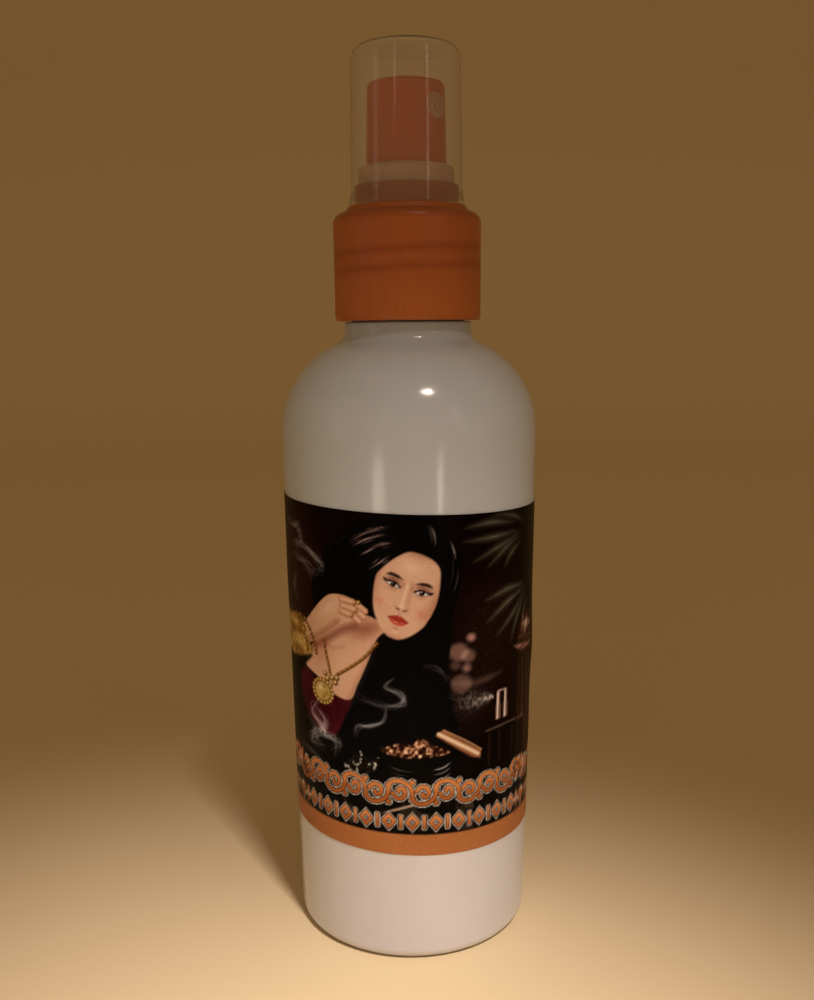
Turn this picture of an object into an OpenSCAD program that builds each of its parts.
// Fine-mist spray bottle: round blown bottle, printed sleeve label, 24/410 screw closure,
// pre-compression pump with dip tube, finger actuator and clear overcap.
// Units are millimetres. The origin is the centre of the base, and +Z points up.

/* [Bottle] */
// Outside diameter where the wall meets the shoulder
body_d = 50; // [48:0.5:56]
// Outside diameter that the wall tapers to at the foot
foot_d = 48.4; // [46:0.2:50]
// Height at which the wall ends and the shoulder begins
wall_top = 103; // [95:1:112]
// Height of the rounded shoulder
shoulder_h = 18; // [16:0.5:20]
// Thickness of the blown wall
wall_t = 1.1; // [0.8:0.1:1.4]
// Radius of the heel, between wall and base
heel_r = 2.5; // [2:0.5:5]
// Depth of the dish under the base
base_dish = 1.2; // [0.6:0.2:2]

/* [Label] */
// Height of the label's lower edge at the front
label_low = 23.5; // [18:0.5:30]
// Height of the label from edge to edge
label_h = 67.1; // [50:0.1:75]
// Thickness of the label film
label_t = 0.15; // [0.1:0.05:0.3]
// Tilt of the label, in degrees, with its left side higher
label_tilt = 2.2; // [0:0.1:3]

/* [Closure] */
// Outside diameter of the screw closure
closure_d = 28; // [27.5:0.1:29]
// Height of the closure's wall, without its chimney
closure_h = 19.6; // [19.4:0.1:22]
// Number of grip ribs round the closure
rib_count = 120; // [60:10:120]
// Pitch of the thread
pitch = 3.175; // [3:0.025:3.4]
// Turns of thread on the neck and in the closure
thread_turns = 1.5; // [1:0.25:1.5]

/* [Actuator] */
// Diameter of the actuator at its foot
actuator_d = 15.2; // [14.8:0.1:15.2]
// Height of the actuator's top face above the table
actuator_top = 166.3; // [166:0.1:169]
// Distance that the actuator moves when it is pressed
stroke = 5.5; // [4:0.25:5.5]
// Direction that the nozzle faces, in degrees from +X
nozzle_angle = -40; // [-180:5:180]
// Diameter of the nozzle insert
nozzle_d = 4.8; // [4:0.1:5]

/* [Overcap] */
// Outside diameter of the overcap near its foot
overcap_d = 21; // [20.9:0.1:21.5]
// Height of the overcap's top above the table
overcap_top = 172.4; // [172.2:0.2:178]
// Wall thickness of the overcap
overcap_t = 0.55; // [0.5:0.01:0.58]

/* [Dip tube] */
// Outside diameter of the dip tube
tube_d = 4; // [3.6:0.1:4]
// Inside diameter of the dip tube
tube_bore = 2.6; // [1.5:0.1:2.8]
// Height of the dip tube's cut end above the table
tube_low = 4.5; // [3.5:0.5:10]

/* [Hidden] */
$fn = 96;

// gap between faces that only rest on each other
rest_gap = 0.02;
// depth that a thread's root is sunk into the wall that carries it
root_bite = 0.2;

body_r = body_d / 2;
shoulder_w = 17;
shoulder_steps = 20;
foot_r = foot_d / 2 - heel_r;
foot_w = 2.5;

// neck finish
bead_r = 12.25;
bead_low = wall_top + shoulder_h - 1;
bead_top = wall_top + shoulder_h + 3;
neck_r = 10.75;
neck_bore_r = 8.4;
neck_top = bead_top + 16.4;
thread_crest_r = 11.85;
thread_start = bead_top + 7.2;
// direction in which both threads begin, in degrees from +X
thread_angle = 180;

// closure
closure_low = bead_top + 0.2;
closure_top = closure_low + closure_h;
closure_r = closure_d / 2;
closure_bore_r = 12.15;
closure_crest_r = 11;
closure_lid_t = 1.5;
closure_lid = closure_top - closure_lid_t;
closure_edge_r = 2;
rib_depth = 0.15;
rib_low = closure_low + 0.9;
rib_top = closure_top - closure_edge_r - 0.6;
chimney_r = 9.85;
chimney_bore_r = 9.3;
chimney_top = closure_top + 4.7;
flare_h = 1.1;
flare_low_r = 11.8;
flare_top_r = 11.2;

// pump flange and gasket, clamped between closure and neck
flange_r = 11.6;
flange_top = closure_lid - rest_gap;
gasket_low = neck_top + rest_gap;
gasket_t = 0.8;
gasket_top = gasket_low + gasket_t;

// pump cylinder
cylinder_r = 6.2;
cylinder_bore_r = 5;
socket_r = 7;
socket_bore_r = 6;
chaplet_low = closure_lid - 4.7;
spring_ledge = chaplet_low - 20.1;
pocket_r = 2.2;
pocket_floor = spring_ledge - 7.5;
ball_r = 1.6;
ball_lift = 1;
seat_hole_r = 1;
tail_r = 3.3;
tail_low = pocket_floor - 10;
tube_r = tube_d / 2;
tube_top = pocket_floor - 1;
seat_top = pocket_floor + pocket_r - seat_hole_r;
ball_z = pocket_floor + (ball_r + rest_gap) * sqrt(2) - seat_hole_r;
lug_z = ball_z + ball_r + ball_lift + 0.1;

// plunger
stem_r = 2.4;
stem_bore_r = 1.1;
stem_fit = 0.05;
piston_fit = 0.04;
piston_h = 5.6;
piston_top = chaplet_low - rest_gap;
piston_low = piston_top - piston_h;
stem_foot_r = 3.2;
stem_foot_h = 1.2;
stem_low = piston_low - stem_foot_h;
stem_top = actuator_top - 8.7;
valve_r = 1.75;
valve_top = stem_low + 5.7;
seat_t = 1.7;
valve_hole_r = 0.7;
poppet_r = 1.45;
poppet_pin_r = 0.8;
poppet_low = stem_low + seat_t + rest_gap;
poppet_head_t = 0.5;

// chaplet with its turret
turret_r = 9;
turret_bore_r = 7.9;
// depth that the actuator reaches into the turret at rest
turret_lap = 2.4;
turret_top = closure_top + 8.2;
turret_floor = turret_top - turret_lap - stroke - 0.4;

// actuator
actuator_r = actuator_d / 2;
actuator_top_r = 7.15;
actuator_low = turret_top - turret_lap;
actuator_t = 0.9;
actuator_lid_t = 1.6;
actuator_edge_r = 1.4;
hub_r = 3.8;
hub_fit = 0.03;
hub_low = stem_top - 4.6;
nozzle_r = nozzle_d / 2;
nozzle_z = actuator_top - 4.5;
nozzle_boss_r = 3.3;
nozzle_boss_l = 6.35;
nozzle_depth = 2.8;
nozzle_front = 7.2;
feed_w = 3.6;
feed_h = 0.6;
post_r = 1.2;
cavity_r = 1.6;
orifice_r = 0.2;

// overcap
overcap_low = closure_top + flare_h + rest_gap;
overcap_r = overcap_d / 2;
overcap_top_r = 10.1;
overcap_foot_r = 10.9;
overcap_edge_r = 2;

// A ring of rectangular section round the Z axis.
module ring(inner_r, outer_r, low, high) {
    rotate_extrude()
        translate([inner_r, low]) square([outer_r - inner_r, high - low]);
}

// Points of an arc round a centre, from one angle to another.
function arc(centre, radius, from, to, steps) = [for (i = [0:steps])
    centre + radius * [cos(from + (to - from) * i / steps), sin(from + (to - from) * i / steps)]];

// Points of the shoulder: a quarter ellipse from the wall in to radius end_r.
function shoulder(width, height, top_r, end_r) = let (centre_r = top_r - width,
    last = acos((end_r - centre_r) / width)) [for (i = [0:shoulder_steps])
    [centre_r + width * cos(last * i / shoulder_steps),
        wall_top + height * sin(last * i / shoulder_steps)]];

// Helical thread ridge. It grows from nothing at both ends, over fade degrees.
module thread(root_r, crest_r, root_w, crest_w, low, turns, fade = 30, steps = 36) {
    n = round(turns * steps);
    function height(i) = min(1, max(0.02, i * 360 / steps / fade), max(0.02, (n - i) * 360 / steps / fade));
    function section(i) = let (a = i * 360 / steps, z = low + pitch * i / steps,
        tip_r = root_r + (crest_r - root_r) * height(i),
        tip_w = root_w + (crest_w - root_w) * height(i))
        [for (p = [[root_r, -root_w / 2], [tip_r, -tip_w / 2], [tip_r, tip_w / 2], [root_r, root_w / 2]])
            [p[0] * cos(a), p[0] * sin(a), z + p[1]]];
    points = [for (i = [0:n]) each section(i)];
    sides = [for (i = [0:n - 1], k = [0:3]) let (a = 4 * i + k, b = 4 * i + (k + 1) % 4)
        each [[a, b, b + 4], [a, b + 4, a + 4]]];
    faces = concat([[3, 2, 1, 0]], sides, [[for (k = [0:3]) 4 * n + k]]);
    outward = crest_r > root_r;
    polyhedron(points, outward ? faces : [for (f = faces) [for (k = [len(f) - 1:-1:0]) f[k]]]);
}

// Compression spring with closed ends, wound round the Z axis.
module coil_spring(mean_r, wire_r, low, high, turns, steps = 18, sides = 6) {
    n = turns * steps;
    pitch_turns = turns - 2;
    rise = high - low - 6 * wire_r;
    function level(i) = let (t = i / steps)
        t < 1 ? 2 * wire_r * t
        : t > turns - 1 ? high - low - 2 * wire_r - 2 * wire_r * (turns - t)
        : 2 * wire_r + rise * (t - 1) / pitch_turns;
    function ring_points(i) = let (a = 360 * i / steps, z = low + wire_r + level(i))
        [for (k = [0:sides - 1]) let (b = 360 * k / sides, r = mean_r + wire_r * cos(b))
            [r * cos(a), r * sin(a), z + wire_r * sin(b)]];
    points = [for (i = [0:n]) each ring_points(i)];
    skin = [for (i = [0:n - 1], k = [0:sides - 1])
        let (a = sides * i + k, b = sides * i + (k + 1) % sides)
        each [[a, b + sides, a + sides], [a, b, b + sides]]];
    polyhedron(points, concat([[for (k = [sides - 1:-1:0]) k]], skin,
        [[for (k = [0:sides - 1]) sides * n + k]]));
}

// Outside radius of the tapered wall at a height.
function wall_r(height) = foot_d / 2
    + (body_r - foot_d / 2) * (height - heel_r) / (wall_top - heel_r);

// Outline of the bottle's inside or outside, as the radius and height of each point.
function bottle_outline(inset) = concat(
    [[0, base_dish + inset], [foot_r - foot_w - 3, base_dish + inset], [foot_r - foot_w, inset],
        [foot_r, inset]],
    arc([foot_r, heel_r], heel_r - inset, -90, 0, 8),
    shoulder(shoulder_w, shoulder_h - inset, body_r - inset, neck_bore_r + 1.2));

module wall_section() {
    difference() {
        polygon(concat(bottle_outline(0), [[0, wall_top + shoulder_h]]));
        polygon(concat(bottle_outline(wall_t), [[neck_bore_r, wall_top + shoulder_h],
            [0, wall_top + shoulder_h]]));
        translate([0, wall_top]) square([neck_bore_r, shoulder_h + 1]);
    }
}

module neck_section() {
    polygon([[neck_bore_r, bead_low - 1.4], [bead_r - 0.6, bead_low - 1.4],
        [bead_r, bead_low], [bead_r, bead_top - 0.4], [bead_r - 0.4, bead_top],
        [neck_r, bead_top], [neck_r, neck_top - 0.4], [neck_r - 0.4, neck_top],
        [neck_bore_r, neck_top]]);
}

module bottle() {
    color([0.86, 0.82, 0.76]) rotate(thread_angle) union() {
        rotate_extrude() union() {
            wall_section();
            neck_section();
        }
        thread(neck_r - root_bite, thread_crest_r, 2.3, 1.1, thread_start, thread_turns);
    }
}

module label() {
    mid = label_low + label_h / 2;
    color([0.16, 0.12, 0.12]) intersection() {
        rotate_extrude() polygon([[wall_r(heel_r), heel_r], [wall_r(heel_r) + label_t, heel_r],
            [body_r + label_t, wall_top], [body_r, wall_top]]);
        translate([0, 0, mid]) rotate([0, label_tilt, 0])
            cube([2 * body_d, 2 * body_d, label_h], center = true);
    }
}

// Grip ribs: one closed ring whose outside is a row of shallow teeth.
module ribs() {
    step = 180 / rib_count;
    translate([0, 0, rib_low]) linear_extrude(rib_top - rib_low) difference() {
        polygon([for (i = [0:2 * rib_count - 1])
            (closure_r - (i % 2) * rib_depth) * [cos(i * step), sin(i * step)]]);
        circle(r = closure_bore_r + root_bite);
    }
}

module closure_shell() {
    edge = arc([closure_r - closure_edge_r, closure_top - closure_edge_r],
        closure_edge_r, 0, 90, 8);
    rotate_extrude() polygon(concat(
        [[closure_bore_r, closure_low], [closure_r - 0.3, closure_low],
            [closure_r, closure_low + 0.3], [closure_r, rib_low],
            [closure_r - rib_depth, rib_low], [closure_r - rib_depth, rib_top],
            [closure_r, rib_top]],
        edge,
        [[flare_low_r, closure_top], [flare_top_r, closure_top + flare_h],
            [chimney_r, closure_top + flare_h], [chimney_r, chimney_top - 0.3],
            [chimney_r - 0.3, chimney_top], [chimney_bore_r, chimney_top],
            [chimney_bore_r, closure_lid], [closure_bore_r, closure_lid]]));
}

module closure() {
    mesh_shift = pitch / 2;
    color([0.72, 0.33, 0.12]) rotate(thread_angle) union() {
        closure_shell();
        ribs();
        thread(closure_bore_r + root_bite, closure_crest_r, 1.3, 0.7,
            thread_start + mesh_shift, thread_turns);
    }
}

module gasket() {
    color([0.85, 0.85, 0.82])
        ring(neck_bore_r + 0.3, flange_r, gasket_low, gasket_top);
}

// Small lugs that keep the ball in its pocket.
module ball_lugs() {
    for (a = [0:120:240]) rotate(a)
        translate([pocket_r - 0.9, -0.4, lug_z]) cube([1.2, 0.8, 0.8]);
}

module pump_housing() {
    color([0.9, 0.9, 0.88]) union() {
        rotate_extrude() polygon([
            [tube_r, tail_low], [tail_r - 0.3, tail_low], [tail_r, tail_low + 0.3],
            [tail_r, spring_ledge - 2], [cylinder_r, spring_ledge + 0.5],
            [cylinder_r, chaplet_low - 2], [socket_r, chaplet_low - 1],
            [socket_r, gasket_top], [flange_r, gasket_top], [flange_r, flange_top],
            [socket_bore_r, flange_top], [socket_bore_r, chaplet_low],
            [cylinder_bore_r, chaplet_low], [cylinder_bore_r, spring_ledge],
            [pocket_r, spring_ledge], [pocket_r, seat_top],
            [seat_hole_r, pocket_floor], [seat_hole_r, tube_top], [tube_r, tube_top]]);
        ball_lugs();
    }
}

module chaplet() {
    color([0.9, 0.75, 0.65]) rotate_extrude() polygon([
        [stem_r + stem_fit, chaplet_low], [socket_bore_r, chaplet_low],
        [socket_bore_r, flange_top], [turret_r, flange_top],
        [turret_r, turret_top - 0.8], [turret_r - 0.3, turret_top - 0.25],
        [turret_r - 0.8, turret_top],
        [turret_bore_r, turret_top], [turret_bore_r, turret_floor],
        [stem_r + 1.2, turret_floor], [stem_r + 1.2, turret_floor + 0.8],
        [stem_r + stem_fit, turret_floor + 0.8]]);
}

// The tube's lower end is cut on a slant, so that it can't seal on the floor.
module dip_tube() {
    color([0.9, 0.9, 0.9]) difference() {
        ring(tube_bore / 2, tube_r, tube_low, tube_top);
        translate([0, 0, tube_low]) rotate([0, 45, 0])
            translate([0, 0, -tube_d]) cube(2 * tube_d, center = true);
    }
}

module return_spring() {
    color("silver") coil_spring(3.85, 0.35, spring_ledge, piston_low, 8);
}

module stem() {
    color([0.9, 0.9, 0.88]) rotate_extrude() polygon([
        [valve_r, stem_low], [stem_foot_r, stem_low], [stem_foot_r, piston_low],
        [stem_r, piston_low], [stem_r, stem_top - 0.4], [stem_r - 0.4, stem_top],
        [stem_bore_r, stem_top], [stem_bore_r, valve_top], [valve_r, valve_top]]);
}

module piston() {
    lip_r = cylinder_bore_r - piston_fit;
    color([0.8, 0.85, 0.9]) rotate_extrude() polygon([
        [stem_r, piston_low], [lip_r - 0.5, piston_low], [lip_r, piston_low + 0.3],
        [lip_r, piston_low + 1.3], [lip_r - 0.6, piston_low + 1.9],
        [lip_r - 0.6, piston_top - 1.9], [lip_r, piston_top - 1.3],
        [lip_r, piston_top - 0.3], [lip_r - 0.5, piston_top], [stem_r, piston_top]]);
}

module valve_seat() {
    cone_h = 0.7;
    seat_top_z = stem_low + seat_t;
    color([0.85, 0.85, 0.8]) rotate_extrude() polygon([
        [valve_hole_r, stem_low], [valve_r, stem_low], [valve_r, seat_top_z],
        [valve_hole_r + cone_h, seat_top_z], [valve_hole_r, seat_top_z - cone_h]]);
}

module poppet() {
    head_top = poppet_low + poppet_head_t;
    color([0.95, 0.95, 0.92]) rotate_extrude() polygon([
        [0, poppet_low - 1.2], [0.15, poppet_low - 1.2], [valve_hole_r + 0.7, poppet_low],
        [poppet_r, poppet_low + 0.1], [poppet_r, head_top], [poppet_pin_r, head_top],
        [poppet_pin_r, head_top + 1.6], [0, head_top + 1.6]]);
}

module valve_spring() {
    color("silver") coil_spring(1.25, 0.14, poppet_low + poppet_head_t, valve_top, 6, 14);
}

module inlet_ball() {
    color("silver") translate([0, 0, ball_z]) sphere(r = ball_r);
}

// Shell of the actuator, with drafted sides and a rounded top edge.
module actuator_shell() {
    edge = arc([actuator_top_r - actuator_edge_r, actuator_top - actuator_edge_r],
        actuator_edge_r, 0, 90, 8);
    ceiling = actuator_top - actuator_lid_t;
    rotate_extrude() polygon(concat(
        [[actuator_r - actuator_t, actuator_low], [actuator_r, actuator_low]],
        edge,
        [[0, actuator_top], [0, ceiling], [actuator_top_r - actuator_t, ceiling]]));
}

// Turns its children so that +Z lies along the nozzle's axis.
module along_nozzle() {
    translate([0, 0, nozzle_z]) rotate([0, 90, nozzle_angle]) children();
}

module actuator() {
    color([0.72, 0.33, 0.12]) difference() {
        union() {
            actuator_shell();
            translate([0, 0, hub_low]) cylinder(r = hub_r, h = actuator_top - 1 - hub_low);
            along_nozzle() cylinder(r = nozzle_boss_r, h = nozzle_boss_l);
        }
        translate([0, 0, hub_low - 1]) cylinder(r = stem_r + hub_fit, h = stem_top - hub_low + 1);
        cylinder(r = stem_bore_r, h = nozzle_z + feed_h);
        along_nozzle() difference() {
            translate([0, 0, nozzle_front - nozzle_depth]) cylinder(r = nozzle_r, h = 5);
            cylinder(r = post_r, h = nozzle_front - 0.9);
        }
        along_nozzle() translate([-feed_h / 2, -feed_w / 2, 0])
            cube([feed_h, feed_w, nozzle_front - nozzle_depth + 0.1]);
    }
}

module nozzle_insert() {
    color([0.85, 0.5, 0.3]) along_nozzle() rotate_extrude() polygon([
        [cavity_r, nozzle_front - nozzle_depth], [nozzle_r, nozzle_front - nozzle_depth],
        [nozzle_r, nozzle_front - 0.25], [nozzle_r - 0.25, nozzle_front],
        [0.8, nozzle_front], [orifice_r, nozzle_front - 0.35],
        [orifice_r, nozzle_front - 0.7], [cavity_r, nozzle_front - 0.7]]);
}

module overcap() {
    outside = arc([overcap_top_r - overcap_edge_r, overcap_top - overcap_edge_r],
        overcap_edge_r, 0, 90, 8);
    inside = arc([overcap_top_r - overcap_edge_r, overcap_top - overcap_edge_r],
        overcap_edge_r - overcap_t, 90, 0, 8);
    color([0.85, 0.87, 0.88, 0.35]) rotate_extrude() polygon(concat(
        [[overcap_r - overcap_t, overcap_low], [overcap_foot_r, overcap_low],
            [overcap_foot_r, overcap_low + 0.4], [overcap_r, overcap_low + 2.2]],
        outside,
        [[0, overcap_top], [0, overcap_top - overcap_t]],
        inside,
        [[overcap_r - overcap_t, chimney_top + 0.6]]));
}

bottle();
label();
closure();
gasket();
pump_housing();
chaplet();
dip_tube();
return_spring();
stem();
piston();
valve_seat();
poppet();
valve_spring();
inlet_ball();
actuator();
nozzle_insert();
overcap();
